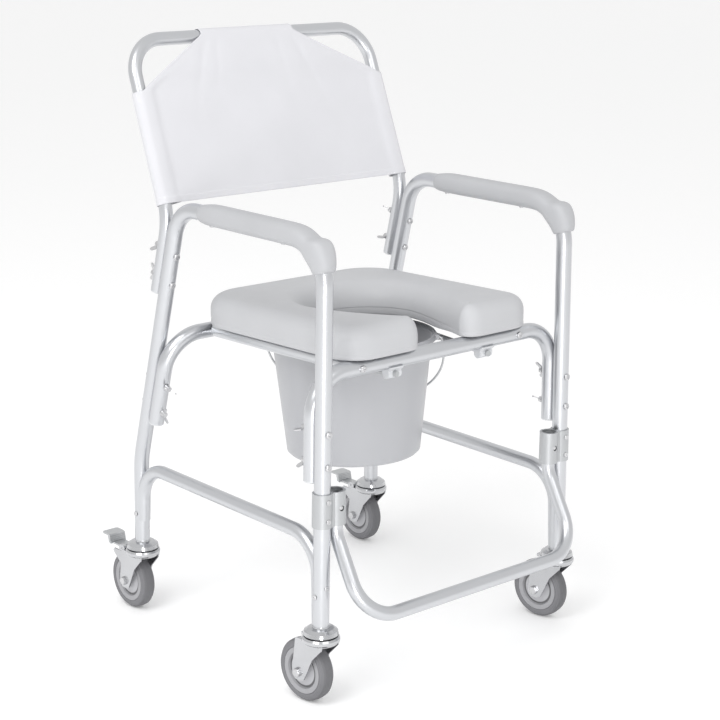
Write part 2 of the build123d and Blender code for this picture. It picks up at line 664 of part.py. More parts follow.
def caster_socket():
    """Plastic expander inside the foot of a leg."""
    collar = Solid.make_cylinder(TUBE / 2, 1, Plane((0, 0, FOOT_Z - 1.3)))
    plug = collar + Solid.make_cylinder(10.4, 42, Plane((0, 0, FOOT_Z - 0.5)))
    return plug - Solid.make_cylinder(STEM / 2, 80, Plane((0, 0, FOOT_Z - 10)))


def caster_stem():
    """Stem with the fixed upper race of the swivel."""
    profile = Polyline(
        (0, 108), (9, 108), (9, 115.5), (26, 115.5), (27.5, 117.5), (26, 123), (20, 127),
        (13, 128.1), (STEM / 2 + 1, 128.1), (STEM / 2, 128.2), (STEM / 2, 165), (STEM / 2 - 1, 166.5),
        (0, 166.5), close=True,
    )
    return revolve(Plane.XZ * make_face(profile), Axis.Z)


def fork_side():
    """Outline of one fork cheek, seen from the side."""
    outline = Polyline(
        (-21, 106), (-19, 98), (0, 78), (9, 58), (18, 40), (24, 37), (TRAIL + 6, 37.5), (TRAIL + 12, 44),
        (TRAIL + 12, 58), (38.5, 84), (36, 104), (34, 106), close=True,
    )
    face = make_face(outline)
    return fillet(face.vertices().sort_by(Axis.Y)[:5], 4)


def caster_fork():
    """Pressed fork: two cheeks, the top plate and the lower race of the swivel."""
    cheeks = [extrude(Plane.YZ.offset(x) * fork_side(), 2.4) for x in (17.2, -19.6)]
    top = Solid.make_cylinder(26, 3, Plane((0, 0, 103))) + Pos(0, 16, 104.5) * Box(39.2, 30, 3)
    profile = Polyline(
        (9.5, 104), (CROWN / 2 - 3, 104), (CROWN / 2, 107), (CROWN / 2, 111.5), (CROWN / 2 - 2, 114.6),
        (9.5, 114.6), close=True,
    )
    crown = revolve(Plane.XZ * make_face(profile), Axis.Z)
    shape = top + crown + cheeks[0] + cheeks[1]
    shape -= Solid.make_cylinder(9.3, 40, Plane((0, 0, 95)))
    return shape - cylinder((-30, TRAIL, WHEEL / 2), (1, 0, 0), 4.05, 60)


def front_fork():
    """Front fork with the short tab of the omitted brake behind its crown."""
    tab = Pos(0, 30, 109) * Box(16, 12, 4)
    return caster_fork() + fillet(tab.edges().filter_by(Axis.Z), 3)


def rear_fork():
    """Rear fork with two lugs for the brake pedal's pin and a wing on each cheek below the pedal."""
    shape = caster_fork()
    wing = make_face(Polyline((30, 102), (58, 102), (61, 99), (58, 94), (37, 78), (30, 80), close=True))
    for x in (17.2, -19.6):
        shape += extrude(Plane.YZ.offset(x) * wing, 2.4)
    for x in (-16.2, 16.2):
        lug = Pos(x, 36, 107) * Box(6, 16, 13)
        shape += fillet(lug.edges().filter_by(Axis.X).sort_by(Axis.Z)[-2:], 5)
    return shape - cylinder((-30, PEDAL_PIN[0], PEDAL_PIN[1]), (1, 0, 0), 2.05, 60)


def axle_bolt():
    """Axle bolt with its hexagon head and its nut outside the fork cheeks."""
    shank = cylinder((-24, 0, 0), (1, 0, 0), 4, 50)
    head = extrude(Plane.YZ.offset(-24.8) * RegularPolygon(7.2, 6), 5)
    nut = extrude(Plane.YZ.offset(19.7) * RegularPolygon(7.2, 6), 6)
    nut = chamfer(nut.edges().group_by(Axis.X)[-1], 0.8)
    return Pos(0, TRAIL, WHEEL / 2) * (shank + chamfer(head.edges().group_by(Axis.X)[0], 0.8) + nut)


def wheel_hub():
    """Moulded wheel centre: hub sleeve, dished web and rim."""
    profile = Polyline(
        (4.1, -16.4), (9, -16.4), (10, -12), (28, -7.5), (29.5, -11), (37, -11.5), (37, 11.5), (29.5, 11),
        (28, 7.5), (10, 12), (9, 16.4), (4.1, 16.4), close=True,
    )
    return Pos(0, TRAIL, WHEEL / 2) * Rot(0, 90, 0) * revolve(Plane.XZ * make_face(profile), Axis.Z)


def tyre():
    """Solid rubber tyre with a rounded tread and a raised bead at each side."""
    half = TYRE_WIDTH / 2
    edge = WHEEL / 2
    points = [(37.1, -11), (38.5, -half), (41, -half), (42.5, -half + 0.8), (edge - 4, -half + 1)]
    points += [(edge - 0.8, -half + 5), (edge, 0), (edge - 0.8, half - 5), (edge - 4, half - 1)]
    points += [(42.5, half - 0.8), (41, half), (38.5, half), (37.1, 11)]
    shape = revolve(Plane.XZ * make_face(Polyline(*points, close=True)), Axis.Z)
    return Pos(0, TRAIL, WHEEL / 2) * Rot(0, 90, 0) * shape


def brake_pedal():
    """Foot pedal: a level arm from the pin to a ribbed toe face with a tab behind it."""
    eye = cylinder((-12.6, PEDAL_PIN[0], PEDAL_PIN[1]), (1, 0, 0), 5, 25.2)
    arm = Polyline((36, 103.6), (76, 103.6), (76, 106.6), (44, 106.6), (42, 110), (36, 110), close=True)
    toe = Polyline((74, 103.6), (80, 105.5), (82.5, 116.5), (77.5, 119.5), close=True)
    shape = eye + extrude(Plane.YZ * make_face(arm), 11, both=True)
    shape += extrude(Plane.YZ * make_face(toe), PEDAL_WIDTH / 2, both=True)
    tab = Pos(0, 89, 0) * RectangleRounded(PEDAL_WIDTH, 24, 5)
    shape += Pos(0, 0, 117) * extrude(tab, 2.6)
    for i in range(4):
        shape -= Pos(0, 74.4 + 0.72 * i, 106.6 + 3.1 * i) * Box(PEDAL_WIDTH - 3, 1.8, 1.4)
    return shape - cylinder((-30, PEDAL_PIN[0], PEDAL_PIN[1]), (1, 0, 0), 2.1, 60)


def pedal_pin():
    """Pin of the brake pedal."""
    return cylinder((-20.5, PEDAL_PIN[0], PEDAL_PIN[1]), (1, 0, 0), 2, 41)


# ---------------------------------------------------------------- write the parts


def write_frame():
    for side, name in ((-1, "right"), (1, "left")):
        save(f"{name}_side_frame", side_frame(side))
        save(f"{name}_seat_rail", seat_rail(side))
        save(f"{name}_lower_rail", lower_rail(side))
        save(f"{name}_footrest_bracket", footrest_bracket(side))
        save(f"{name}_armrest", armrest(side))
    save("front_seat_hoop", front_hoop())
    save("rear_seat_hoop", rear_hoop())
    save("pail_ring", SEAT_FRAME * pail_ring())
    save("front_ring_clips", front_ring_clips())
    save("rear_ring_clips", rear_ring_clips())
    save("back_frame", back_frame())
    save("back_frame_plugs", back_plugs())
    save("hoop_plugs", hoop_plugs())
    save("frame_bolts", frame_bolts())
    save("frame_wing_nuts", frame_wing_nuts())
    save("seat_rail_bolts", Compound([SEAT_FRAME * bolt(a, d, 36) for a, d in rail_bolt_axes()]))
    save("seat_rail_inserts", rail_inserts())
    save("lower_rail_rivets", Compound([rivet(a, d) for a, d in lower_rivet_axes()]))
    save("footrest_bracket_rivets", Compound([rivet(a, d) for a, d in bracket_rivet_axes()]))
    save("armrest_screws", Compound(armrest_screws()))
    save("back_sling", back_sling())


def write_moving_parts():
    save("footrest_frame", footrest_frame())
    save("footrest_springs", footrest_springs())
    save("right_footrest_button", footrest_button(-1))
    save("left_footrest_button", footrest_button(1))
    save("seat_pad", seat_pad())
    save("seat_board", seat_board())
    save("rear_seat_clips", rear_seat_clips())
    save("seat_clip_screws", seat_clip_screws())
    save("bucket", pail())
    save("bucket_bail", pail_bail())


def write_casters():
    sockets = []
    stems = []
    for name in CASTERS:
        place = caster_place(name)
        rear = name.endswith("rear")
        sockets.append(place * caster_socket())
        stems.append(place * caster_stem())
        save(f"{name}_fork", place * (rear_fork() if rear else front_fork()))
        save(f"{name}_axle_bolt", place * axle_bolt())
        save(f"{name}_wheel_hub", place * wheel_hub())
        save(f"{name}_tyre", place * tyre())
        if rear:
            save(f"{name}_brake_pedal", place * brake_pedal())
            save(f"{name}_pedal_pin", place * pedal_pin())
    save("caster_sockets", Compound(sockets))
    save("caster_stems", Compound(stems))


write_frame()
write_moving_parts()
write_casters()
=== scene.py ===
import bpy, bmesh
from math import atan, cos, exp, pi, radians, sin, tan
from mathutils import Matrix, Vector, geometry, noise


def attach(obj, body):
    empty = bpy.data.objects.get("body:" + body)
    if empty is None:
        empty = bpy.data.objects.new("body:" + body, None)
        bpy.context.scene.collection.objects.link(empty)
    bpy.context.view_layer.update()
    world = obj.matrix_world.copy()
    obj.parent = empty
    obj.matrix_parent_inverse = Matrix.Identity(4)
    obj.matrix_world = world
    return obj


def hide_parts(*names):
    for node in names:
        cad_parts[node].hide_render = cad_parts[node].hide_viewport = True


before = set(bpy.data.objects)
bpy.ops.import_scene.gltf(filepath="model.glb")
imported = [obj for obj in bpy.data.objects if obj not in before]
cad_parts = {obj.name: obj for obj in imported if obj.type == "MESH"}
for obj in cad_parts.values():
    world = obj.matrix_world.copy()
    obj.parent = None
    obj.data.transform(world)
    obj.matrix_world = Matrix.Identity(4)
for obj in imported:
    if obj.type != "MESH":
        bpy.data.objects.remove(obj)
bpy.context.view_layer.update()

# ------------------------------------------------------------------ sizes, mm, y from the front legs
MM = 0.001
LEG_Y = -250.1                              # the front legs in the shared frame
FOOT_X, FOOT_Z, LEAN = 257.9, 129.5, 0.0148             # the legs lean inwards above the foot
REAR_LEG_Y, KINK_Z, RAKE = 479.6, 273.4, atan(0.263)    # the rear legs lean forwards above the kink


def leg_x(z):
    return FOOT_X - LEAN * (z - FOOT_Z)


def rear_leg_y(z):
    return REAR_LEG_Y - tan(RAKE) * (z - KINK_Z)


# ------------------------------------------------------------------ materials
PATCH_SCALE, SCUFF_SCALE, GLOSS_SCALE = 14, 160, 45     # noise per metre: colour, wear marks, shine
SCUFF_START, SCUFF_FULL, SCUFF_SHADE = 0.62, 0.75, 0.6
GRAIN_DEPTH = 0.0006


def node_material(name, color, rough, metallic=0.0, grain=(900, 0.05), mottle=0.02, rough_spread=0.06,
                  coat=0.0, sheen=0.0, wear=0.0, specular=0.5):
    """Procedural finish: grain is the bump (scale per metre, strength), mottle the spread of the colour,
    wear the strength of darker marks."""
    material = bpy.data.materials.new(name)
    material.use_nodes = True
    nodes, links = material.node_tree.nodes, material.node_tree.links
    shader = nodes["Principled BSDF"]
    shader.inputs["Metallic"].default_value = metallic
    shader.inputs["Coat Weight"].default_value = coat
    shader.inputs["Sheen Weight"].default_value = sheen
    shader.inputs["Specular IOR Level"].default_value = specular
    coords = nodes.new("ShaderNodeTexCoord")

    def noise_node(scale, detail):
        texture = nodes.new("ShaderNodeTexNoise")
        texture.inputs["Scale"].default_value = scale
        texture.inputs["Detail"].default_value = detail
        links.new(coords.outputs["Object"], texture.inputs["Vector"])
        return texture

    patches = noise_node(PATCH_SCALE, 4)
    ramp = nodes.new("ShaderNodeValToRGB")
    low, high = ramp.color_ramp.elements
    low.position, high.position = 0.3, 0.7
    low.color = [max(0, c * (1 - mottle)) for c in color] + [1]
    high.color = [min(1, c * (1 + mottle)) for c in color] + [1]
    links.new(patches.outputs["Fac"], ramp.inputs["Fac"])
    base = ramp.outputs["Color"]
    if wear:
        scuffs = noise_node(SCUFF_SCALE, 5)
        mask = nodes.new("ShaderNodeMapRange")
        mask.inputs["From Min"].default_value = SCUFF_START
        mask.inputs["From Max"].default_value = SCUFF_FULL
        mask.inputs["To Max"].default_value = wear
        links.new(scuffs.outputs["Fac"], mask.inputs["Value"])
        mix = nodes.new("ShaderNodeMix")
        mix.data_type = "RGBA"
        mix.inputs["B"].default_value = [c * SCUFF_SHADE for c in color] + [1]
        links.new(mask.outputs["Result"], mix.inputs["Factor"])
        links.new(base, mix.inputs["A"])
        base = mix.outputs["Result"]
    links.new(base, shader.inputs["Base Color"])
    gloss = nodes.new("ShaderNodeMapRange")
    gloss.inputs["To Min"].default_value = rough - rough_spread
    gloss.inputs["To Max"].default_value = rough + rough_spread
    links.new(noise_node(GLOSS_SCALE, 3).outputs["Fac"], gloss.inputs["Value"])
    links.new(gloss.outputs["Result"], shader.inputs["Roughness"])
    height = noise_node(grain[0], 4).outputs["Fac"]
    bump = nodes.new("ShaderNodeBump")
    bump.inputs["Strength"].default_value = grain[1]
    bump.inputs["Distance"].default_value = GRAIN_DEPTH
    links.new(height, bump.inputs["Height"])
    links.new(bump.outputs["Normal"], shader.inputs["Normal"])
    return material


def sling_material():
    """Plain woven nylon: two crossed thread waves and a soft sheen."""
    material = node_material("sling_weave", (0.625, 0.625, 0.65), 0.72, mottle=0.012, sheen=0.15,
                             specular=0.25)
    nodes, links = material.node_tree.nodes, material.node_tree.links
    bump = next(n for n in nodes if n.type == "BUMP")
    coords = next(n for n in nodes if n.type == "TEX_COORD")
    waves = []
    for direction in ("X", "Z"):
        wave = nodes.new("ShaderNodeTexWave")
        wave.bands_direction = direction
        wave.inputs["Scale"].default_value = 420
        wave.inputs["Distortion"].default_value = 0.6
        wave.inputs["Detail Scale"].default_value = 30
        links.new(coords.outputs["Object"], wave.inputs["Vector"])
        waves.append(wave)
    both = nodes.new("ShaderNodeMath")
    both.operation = "MULTIPLY"
    links.new(waves[0].outputs["Fac"], both.inputs[0])
    links.new(waves[1].outputs["Fac"], both.inputs[1])
    links.new(both.outputs["Value"], bump.inputs["Height"])
    bump.inputs["Strength"].default_value = 0.22
    bump.inputs["Distance"].default_value = 0.0004
    return material


TUBE = node_material("anodised_tube", (0.61, 0.62, 0.64), 0.30, metallic=1.0, grain=(2600, 0.012),
                     mottle=0.008, rough_spread=0.015)
BRACKET = node_material("cast_bracket", (0.50, 0.51, 0.52), 0.42, metallic=0.85, grain=(1800, 0.05))
RING = node_material("ring_paint", (0.42, 0.43, 0.44), 0.4, metallic=0.3, grain=(900, 0.08))
CLIP = node_material("clip_plastic", (0.62, 0.63, 0.65), 0.5, grain=(1600, 0.08), mottle=0.03)
PLUG = node_material("plug_plastic", (0.66, 0.67, 0.68), 0.5, grain=(1600, 0.08), mottle=0.03)
ZINC = node_material("zinc_fastener", (0.62, 0.62, 0.63), 0.3, metallic=1.0, grain=(1500, 0.1), mottle=0.06,
                     wear=0.4)
WIRE = node_material("bail_wire", (0.66, 0.67, 0.68), 0.28, metallic=1.0, grain=(1200, 0.06), mottle=0.05)
CHROME = node_material("caster_chrome", (0.56, 0.565, 0.58), 0.19, metallic=1.0, grain=(1800, 0.02),
                       mottle=0.05, rough_spread=0.05)
PEDAL = node_material("pedal_steel", (0.52, 0.53, 0.54), 0.36, metallic=0.7, grain=(1200, 0.1), mottle=0.05)
SEAT = node_material("seat_skin", (0.48, 0.485, 0.50), 0.5, grain=(2200, 0.06), mottle=0.018, coat=0.04)
ARM = node_material("armrest_skin", (0.43, 0.435, 0.45), 0.52, grain=(2200, 0.08))
# the seat board's dark grey is painted shade: darkened to stand in for the shade under the seat round the
# opening
BOARD_AS_SHADE = node_material("seat_board_shade_dark", (0.28, 0.285, 0.30), 0.55, grain=(1200, 0.08), mottle=0.03)
PAIL = node_material("pail_plastic", (0.44, 0.445, 0.465), 0.36, grain=(800, 0.03), mottle=0.012, coat=0.1)
SLING = sling_material()

# each caster: side, y from the front legs, toe in degrees
CASTERS = {"right_front": (-1, 0.0, 5.7), "left_front": (1, 0.0, 9.0),
           "right_rear": (-1, REAR_LEG_Y, 1.2), "left_rear": (1, REAR_LEG_Y, 0.6)}
TRAIL, AXLE_Z = 30.4, 50.0
# (radius, factor) from the axle out: hub's painted gap shade and flange; tyre's wall, painted groove shade,
# tread
# the 0.28 band is painted shade in the gap between the hub's centre and its flange
HUB_RINGS_WITH_SHADE = [(6, 1), (24.2, 1), (24.8, 0.28), (27.4, 0.28), (28.2, 0.75), (40, 0.75)]
# the 0.9 band is painted shade in the tyre's groove
TYRE_RINGS_WITH_SHADE = [(30, 1.5), (36.5, 1.5), (37.2, 0.9), (38.4, 1.15), (46.8, 1.0), (47.4, 0.8)]


def add_wheel_rings(material, caster, stops):
    """Darken or lighten a wheel material by distance from its axle: stops are (radius mm, factor)."""
    side, y, toe = CASTERS[caster]
    turn = radians(toe)
    nodes, links = material.node_tree.nodes, material.node_tree.links
    shader = nodes["Principled BSDF"]
    coords = next(n for n in nodes if n.type == "TEX_COORD")
    local = nodes.new("ShaderNodeMapping")
    local.vector_type = "TEXTURE"
    centre = Vector((side * FOOT_X - TRAIL * sin(turn), y + LEG_Y + TRAIL * cos(turn), AXLE_Z)) * MM
    local.inputs["Location"].default_value = centre
    local.inputs["Rotation"].default_value = (0, 0, turn)
    links.new(coords.outputs["Object"], local.inputs["Vector"])
    flat = nodes.new("ShaderNodeVectorMath")
    flat.operation = "MULTIPLY"
    flat.inputs[1].default_value = (0, 1, 1)
    links.new(local.outputs["Vector"], flat.inputs[0])
    length = nodes.new("ShaderNodeVectorMath")
    length.operation = "LENGTH"
    links.new(flat.outputs["Vector"], length.inputs[0])
    share = nodes.new("ShaderNodeMath")
    share.operation = "MULTIPLY"
    share.inputs[1].default_value = 1 / (AXLE_Z * MM)
    links.new(length.outputs["Value"], share.inputs[0])
    ramp = nodes.new("ShaderNodeValToRGB")
    elements = ramp.color_ramp.elements
    while len(elements) < len(stops):
        elements.new(0.5)
    for element, (radius, factor) in zip(elements, stops):
        element.position = radius / AXLE_Z
        element.color = (factor, factor, factor, 1)
    links.new(share.outputs["Value"], ramp.inputs["Fac"])
    tint = nodes.new("ShaderNodeMix")
    tint.data_type = "RGBA"
    tint.blend_type = "MULTIPLY"
    tint.inputs["Factor"].default_value = 1
    old = shader.inputs["Base Color"].links[0].from_socket
    colour_in = [i for i in tint.inputs if i.type == "RGBA"]
    links.new(old, colour_in[0])
    links.new(ramp.outputs["Color"], colour_in[1])
    links.new([o for o in tint.outputs if o.type == "RGBA"][0], shader.inputs["Base Color"])


WHEELS = {}
for caster in CASTERS:
    hub = node_material(f"{caster}_hub_plastic_gap_shade", (0.46, 0.46, 0.48), 0.42, grain=(1500, 0.06),
                        mottle=0.03)
    add_wheel_rings(hub, caster, HUB_RINGS_WITH_SHADE)
    tyre = node_material(f"{caster}_tyre_rubber_groove_shade", (0.165, 0.165, 0.175), 0.6, grain=(1600, 0.12),
                         mottle=0.08, wear=0.25)
    add_wheel_rings(tyre, caster, TYRE_RINGS_WITH_SHADE)
    WHEELS[f"{caster}_wheel_hub"] = hub
    WHEELS[f"{caster}_tyre"] = tyre

FINISH = {
    "side_frame": TUBE, "seat_rail": TUBE, "lower_rail": TUBE, "seat_hoop": TUBE, "back_frame": TUBE,
    "footrest_frame": TUBE, "footrest_bracket": BRACKET, "pail_ring": RING, "ring_clips": CLIP,
    "plugs": PLUG, "rear_seat_clips": CLIP, "caster_sockets": PLUG, "bucket_bail": WIRE, "bucket": PAIL,
    "caster_stems": CHROME, "fork": CHROME, "brake_pedal": PEDAL,
    "seat_board": BOARD_AS_SHADE, "seat_pad": SEAT, "armrest": ARM, "back_sling": SLING,
}


def finish_of(name):
    """The longest matching ending names the finish; everything else is a zinc-plated fastener."""
    if name in WHEELS:
        return WHEELS[name]
    fits = [key for key in FINISH if name.endswith(key)]
    return FINISH[max(fits, key=len)] if fits else ZINC


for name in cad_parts:
    node = bpy.data.objects[name]
    node.data.materials.clear()
    node.data.materials.append(finish_of(name))

# ------------------------------------------------------------------ mesh helpers


def clamp(value):
    return max(0, min(1, value))


def new_piece(name, verts, faces, material):
    """A smooth-shaded mesh object from points in millimetres."""
    mesh = bpy.data.meshes.new(name)
    mesh.from_pydata([Vector(v) * MM for v in verts], [], faces)
    piece = bpy.data.objects.new(name, mesh)
    bpy.context.scene.collection.objects.link(piece)
    work = bmesh.new()
    work.from_mesh(mesh)
    bmesh.ops.remove_doubles(work, verts=work.verts, dist=1e-6)
    bmesh.ops.recalc_face_normals(work, faces=work.faces)
    work.to_mesh(mesh)
    work.free()
    mesh.materials.append(material)
    for face in mesh.polygons:
        face.use_smooth = True
    return piece


def round_off(piece):
    """One level of subdivision."""
    subsurf = piece.modifiers.new("smooth", "SUBSURF")
    subsurf.levels = subsurf.render_levels = 1


def bridge(count, rings):
    """Faces between rings of count vertices each."""
    faces = []
    for j in range(rings - 1):
        for i in range(count):
            n = (i + 1) % count
            faces.append((j * count + i, j * count + n, (j + 1) * count + n, (j + 1) * count + i))
    return faces


def arc(centre, wide, long, angles):
    """Points round part of an ellipse, at angles in degrees."""
    turns = [radians(angle) for angle in angles]
    return [Vector((centre[0] + wide * cos(turn), centre[1] + long * sin(turn))) for turn in turns]


def catmull(points, steps):
    """Smooth curve through points."""
    out = []
    for i in range(len(points) - 1):
        p = [Vector(points[max(0, min(len(points) - 1, i + k))]) for k in (-1, 0, 1, 2)]
        for s in range(steps):
            t = s / steps
            out.append(0.5 * (2 * p[1] + (p[2] - p[0]) * t + (2 * p[0] - 5 * p[1] + 4 * p[2] - p[3]) * t * t
                              + (3 * p[1] - p[0] - 3 * p[2] + p[3]) * t ** 3))
    out.append(Vector(points[-1]))
    return out


# ------------------------------------------------------------------ armrests
ARM_Z, BEND = 717.0, 64.0                   # height of the arm tube, radius of the bend at the front
# stations along the arm: kind, place (degrees round the bend, or y from the legs), outer, inner and half
# width from the tube's axis, squareness of the section (1 is round)
ARM_STATIONS = [
    ("bend", 15.4, 13.6, 13.4, 13.7, 1.0), ("bend", 15.5, 17.2, 14.6, 15.4, 0.95),
    ("bend", 17.2, 19.4, 15.2, 16.4, 0.9), ("bend", 22, 22.0, 15.3, 17.0, 0.8),
    ("bend", 29, 25.0, 15.2, 17.8, 0.7), ("bend", 36, 26.8, 15.4, 18.8, 0.62),
    ("bend", 42, 27.6, 15.6, 19.4, 0.6), ("bend", 46.5, 26.4, 15.8, 19.4, 0.6),
    ("bend", 50.5, 23.0, 16.0, 19.3, 0.62), ("bend", 54.5, 18.0, 16.2, 19.1, 0.68),
    ("bend", 58.5, 14.6, 16.4, 19.0, 0.74), ("bend", 63, 13.8, 16.6, 19.0, 0.76),
    ("bend", 70, 14.6, 16.8, 19.0, 0.76), ("bend", 80, 16.2, 16.6, 19.1, 0.76),
    ("arm", 66, 17.2, 16.4, 19.2, 0.76), ("arm", 90, 17.5, 16.3, 19.2, 0.76),
    ("arm", 160, 17.5, 16.3, 19.2, 0.76), ("arm", 230, 17.5, 16.3, 19.2, 0.76),
    ("arm", 264, 17.6, 16.2, 19.0, 0.76), ("arm", 276, 17.0, 16.0, 18.4, 0.8),
    ("arm", 285, 15.6, 15.5, 17.2, 0.85), ("arm", 292, 14.4, 14.8, 15.8, 0.9),
    ("arm", 296, 13.7, 14.0, 14.6, 0.95), ("arm", 297, 13.4, 13.4, 13.6, 1.0),
]
ARM_RING = 28


def arm_rings(side):
    rings = []
    for kind, place, outer, inner, half, square in ARM_STATIONS:
        if kind == "bend":
            turn = radians(place)
            centre = Vector((0, BEND - BEND * cos(turn), ARM_Z - BEND + BEND * sin(turn)))
            out = Vector((0, -cos(turn), sin(turn)))
        else:
            centre = Vector((0, place, ARM_Z))
            out = Vector((0, 0, 1))
        centre.x = side * leg_x(centre.z)
        ring = []
        for k in range(ARM_RING):
            a = 2 * pi * k / ARM_RING
            c, s = cos(a), sin(a)
            across = (abs(c) ** square) * (1 if c > 0 else -1) * half
            up = (abs(s) ** square) * (outer if s > 0 else -inner)
            point = centre + out * up + Vector((across, 0, 0))
            ring.append((point.x, point.y + LEG_Y, point.z))
        rings.append(ring)
    return rings


def build_arm_pad(name, side):
    rings = arm_rings(side)
    verts = [point for ring in rings for point in ring]
    faces = bridge(ARM_RING, len(rings))
    faces.append(tuple(range(ARM_RING)))
    faces.append(tuple(range(len(verts) - ARM_RING, len(verts))))
    pad = new_piece(name, verts, faces, ARM)
    round_off(pad)
    return pad


for side, name in ((-1, "right"), (1, "left")):
    pad = build_arm_pad(f"{name}_arm_pad", side)
    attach(pad, "frame")
    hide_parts(f"{name}_armrest")

# ------------------------------------------------------------------ seat
HOOP_Y, CROSSBAR_Z, REAR_HOOP_TOP = 25.5, 511.4, 507.5
REAR_BAR_Y = rear_leg_y(REAR_HOOP_TOP) - HOOP_Y * cos(RAKE)
REAR_BAR_Z = REAR_HOOP_TOP - HOOP_Y * sin(RAKE)
SLOPE = atan((CROSSBAR_Z - REAR_BAR_Z) / (REAR_BAR_Y - HOOP_Y))

# the seat's own frame: x across, y back from the front crossbar, z up from the crossbars' plane
SEAT_HALF, SEAT_FRONT, SEAT_REAR = 195, -21, 386
SEAT_LOW, SEAT_HIGH, REAR_FALL = 13.1, 66.0, 1.0
FRONT_CORNER, REAR_CORNER = 47, 80
FRONT_EDGE, REAR_EDGE = (78, 90, 104, 118, 132), (96, 72, 48, 24, 0)        # x of points on the edges
FLANK_START, FLANK_STEP = 44, 17
INNER_WALL = [(48, 4), (54, 22), (66, 57), (81, 103), (92, 140), (97, 171)]
INNER_CENTRE, INNER_RADIUS = 172, 97
NOSE_WIDE, NOSE_LONG = 28, 24               # rounded inner corner of the arm's front end
RIDGE = [(120, 8), (124, 24), (132, 100), (144, 185), (144, 252), (125, 304), (70, 329), (0, 334)]
CROWN_START, CROWN_DIP = 30, 0.7            # the top's inner points start here, this far below the top
RELIEF, RELIEF_Y, RELIEF_RUN = 6.0, 350, 15             # raised rear edge, clear of the crossbar's clips
LIP, LIP_Y, LIP_RUN = 4.5, 40, 40           # the padding's rim round the opening hangs below the board
RECESS = 1.5                                # the board stands this far out of the foam round it
# lower edge, from the board outwards and up: inset, rise, share of the lip
LOWER_EDGE = ((9.5, RECESS, 0), (8.8, RECESS, 0), (8.6, 0, 0), (7.6, 0, 0.9), (2.6, 0, 1), (0.7, 0.8, 1),
              (0, 2.6, 1), (0, 7.2, 0), (0.7, 8.2, 0), (0, 9.2, 0))
# the rolled upper edge: sizes at the mouth, round the opening and outside
ROLL_WIDTH, ROLL_DEPTH = (20, 40, 25), (30, 46, 25)
MOUTH_RUN = 83.5                            # it grows from the mouth over this length
ROLL_FOOT, ROLL_CREEP, ROLL_TOP = 9.8, 0.02, 1.6        # lowest rise, its growth per degree, drop at the end
WIDTH_SHARE, DEPTH_SHARE, ROLL_SHIFT = 0.96, 0.97, 0.4


def from_seat(x, y, z):
    """Seat frame to shared frame, mm."""
    return (x, LEG_Y + HOOP_Y + y * cos(SLOPE) + z * sin(SLOPE), CROSSBAR_Z - y * sin(SLOPE) + z * cos(SLOPE))


def half_outline():
    """Left half of the seat's plan: the opening's side from the middle of its rear wall to the front, then
    the outer side from the front to the middle of the rear edge."""
    nose_x, nose_y = INNER_WALL[0]
    inner = arc((0, INNER_CENTRE), INNER_RADIUS, INNER_RADIUS, range(90, 0, -9))
    inner += reversed(catmull(INNER_WALL, 4))
    inner += arc((nose_x + NOSE_WIDE, nose_y - 1), NOSE_WIDE, NOSE_LONG, range(192, 270, 13))
    corner_y = SEAT_REAR - REAR_CORNER
    outer = [Vector((x, SEAT_FRONT)) for x in FRONT_EDGE]
    outer += arc((SEAT_HALF - FRONT_CORNER, SEAT_FRONT + FRONT_CORNER), FRONT_CORNER, FRONT_CORNER,
                 range(-90, 1, 10))
    outer += [Vector((SEAT_HALF, y)) for y in range(FLANK_START, corner_y - 5, FLANK_STEP)]
    outer += arc((SEAT_HALF - REAR_CORNER, corner_y), REAR_CORNER, REAR_CORNER, range(0, 91, 6))
    outer += [Vector((x, SEAT_REAR)) for x in REAR_EDGE]
    return inner, outer


def seat_loop():
    """Closed outline of both halves, anticlockwise round the foam, as (point, is on the opening's side)."""
    inner, outer = half_outline()
    left = [(p, True) for p in inner] + [(p, False) for p in outer]
    return left + [(Vector((-p.x, p.y)), is_inner) for p, is_inner in reversed(left[1:-1])]


def smooth_loop(values, passes=3):
    for _ in range(passes):
        n = len(values)
        values = [(values[i - 1] + 2 * values[i] + values[(i + 1) % n]) / 4 for i in range(n)]
    return values


def roll_sizes(loop, mouth, inner, outer):
    """Size of the edge's roll at each point: round the opening it grows from the mouth to the rear."""
    start = INNER_WALL[0][1]
    sizes = [mouth + (inner - mouth) * clamp((p.y - start) / MOUTH_RUN) if is_inner else outer
             for p, is_inner in loop]
    return smooth_loop(sizes)


def fill_cap(outline, inside, start, height, verts, faces):
    """Close the loop of vertices from index start with triangles through some inner points."""
    count = len(outline)
    edges = [(i, (i + 1) % count) for i in range(count)]
    points, _, triangles, origins, _, _ = geometry.delaunay_2d_cdt(outline + inside, edges, [], 1, 1e-5)
    index = []
    for point, origin in zip(points, origins):
        if origin and origin[0] < count:
            index.append(start + origin[0])
        else:
            index.append(len(verts))
            verts.append(from_seat(point.x, point.y, height))
    faces += [tuple(index[k] for k in triangle) for triangle in triangles]


